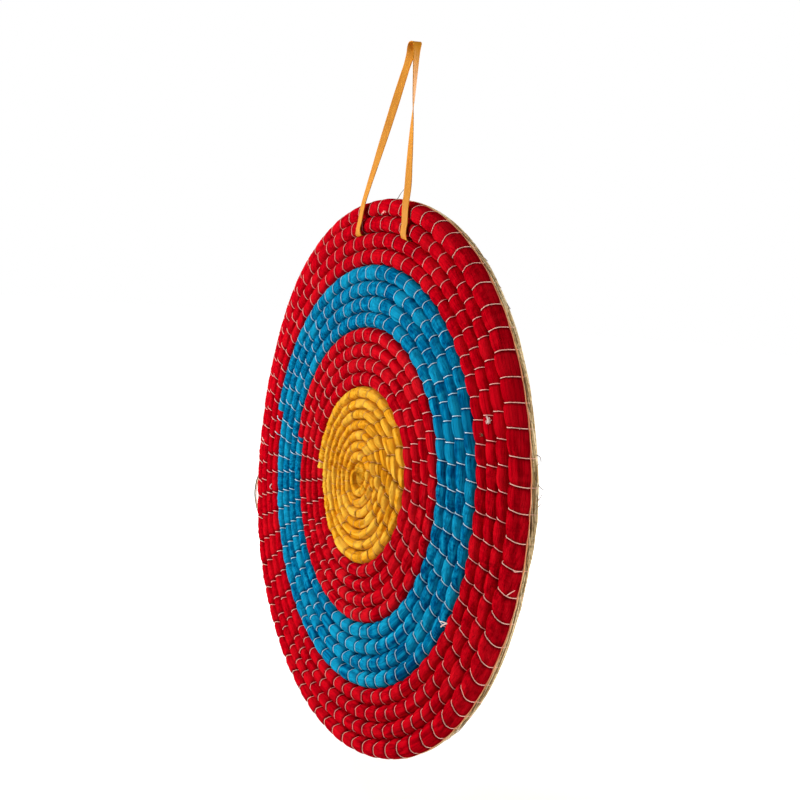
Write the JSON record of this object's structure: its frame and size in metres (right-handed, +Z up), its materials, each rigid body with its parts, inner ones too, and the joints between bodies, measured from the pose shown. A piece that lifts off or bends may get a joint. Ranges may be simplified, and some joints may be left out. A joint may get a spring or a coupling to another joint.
{
  "type": "straw archery target boss",
  "caption": "Round coiled straw target boss with red, blue, red and yellow cloth rings, hung from a ribbon loop.",
  "frame": {"origin": "top of the ribbon loop, where it rests on its hook", "axes": "+Z up, the shooting face towards -Y, the back towards +Y, +X to the right seen from the front"},
  "size_m": [0.5047, 0.0247, 0.6474],
  "materials": {
    "straw": "bundled dry straw, matte with a faint gloss on each stalk",
    "yellow_cloth": "thin woven cotton, folded and stitched",
    "red_cloth": "thin woven cotton, puffed between stitches",
    "blue_cloth": "thin woven cotton, puffed between stitches",
    "ribbon": "flat satin-like woven tape",
    "thread": "twisted cotton sewing thread"
  },
  "bodies": {
    "hanger": {"hanger_ribbon_loop": "ribbon"},
    "boss": {"straw_rope_coil": "straw", "rope_start_eye": "straw", "eye_cloth_cap": "yellow_cloth", "yellow_cloth_wrap": "yellow_cloth", "inner_red_cloth_wrap": "red_cloth", "blue_cloth_wrap": "blue_cloth", "outer_red_cloth_wrap": "red_cloth", "ribbon_end_left": "ribbon", "ribbon_end_right": "ribbon", "ribbon_knot_left": "ribbon", "ribbon_knot_right": "ribbon"}
  },
  "joints": [
    {"name": "boss_swing", "type": "hinge", "parent": "hanger", "child": "boss", "pos_m": [0, -0.0065, -0.174], "axis": [-1, 0, 0], "range_deg": [0, 90], "deforming": ["hanger_ribbon_loop"]}
  ]
}
